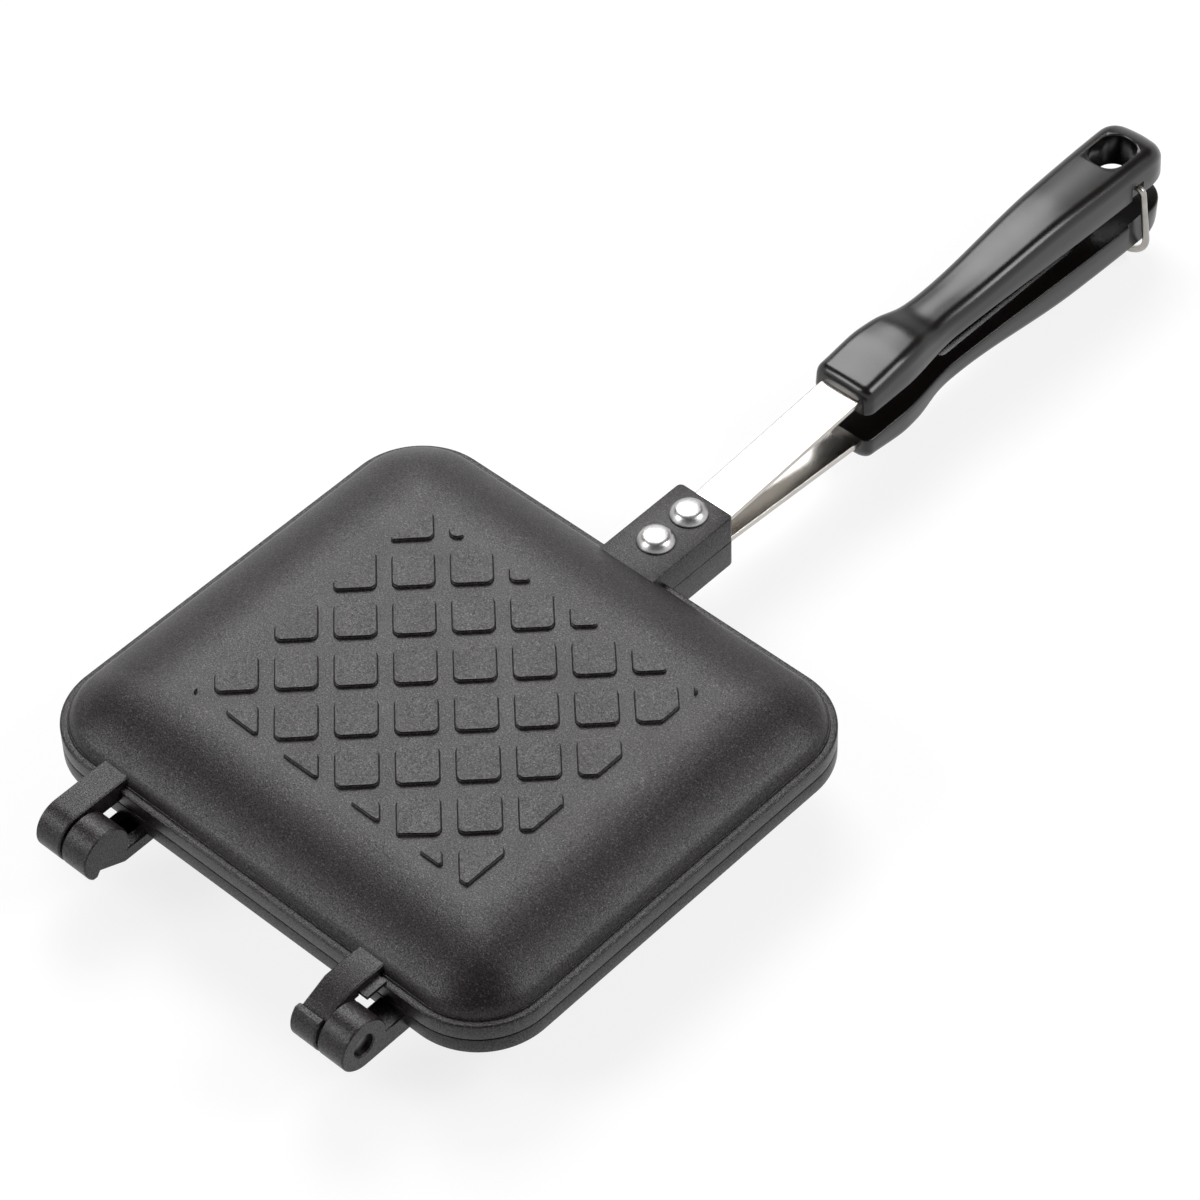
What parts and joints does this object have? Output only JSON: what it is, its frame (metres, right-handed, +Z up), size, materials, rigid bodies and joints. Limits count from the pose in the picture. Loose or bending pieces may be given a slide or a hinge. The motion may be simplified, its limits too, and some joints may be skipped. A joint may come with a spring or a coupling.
{
  "type": "pie iron",
  "caption": "Hinged hot-sandwich iron: two domed cast plates with raised pads, each riveted to a steel strap with a dark moulded grip, and a wire loop that holds the grips together.",
  "frame": {"origin": "under the middle of the two plates, in the plane of the lower casting's pads, on which the plates rest", "axes": "+X along the hinge, +Y from the hinge towards the grips, +Z up through the closed plates"},
  "size_m": [0.15, 0.353, 0.0363],
  "materials": {
    "casting_coat": "cast aluminium under a satin dark charcoal non-stick coat with a fine sparkle",
    "pin_steel": "plain steel pin",
    "strap_steel": "bright stainless steel",
    "rivet_alloy": "satin domed heads",
    "grip_black": "satin black phenolic",
    "loop_steel": "plain steel wire"
  },
  "bodies": {
    "base": {"lower_casting": "casting_coat", "lower_hinge_pin": "pin_steel", "lower_strap": "strap_steel", "lower_rivet_plate_side": "rivet_alloy", "lower_rivet_grip_side": "rivet_alloy", "lower_grip": "grip_black"},
    "lid": {"upper_casting": "casting_coat", "upper_hinge_pin": "pin_steel", "upper_strap": "strap_steel", "upper_rivet_plate_side": "rivet_alloy", "upper_rivet_grip_side": "rivet_alloy", "upper_grip": "grip_black"},
    "loop": {"latch_loop": "loop_steel"}
  },
  "joints": [
    {"name": "lid_hinge", "type": "hinge", "parent": "base", "child": "lid", "pos_m": [0, -0.0798, 0.0155], "axis": [1, 0, 0], "range_deg": [0, 180]},
    {"name": "loop_swing", "type": "hinge", "parent": "lid", "child": "loop", "pos_m": [0, 0.2512, 0.0234], "axis": [1, 0, 0], "range_deg": [-10, 165]}
  ]
}
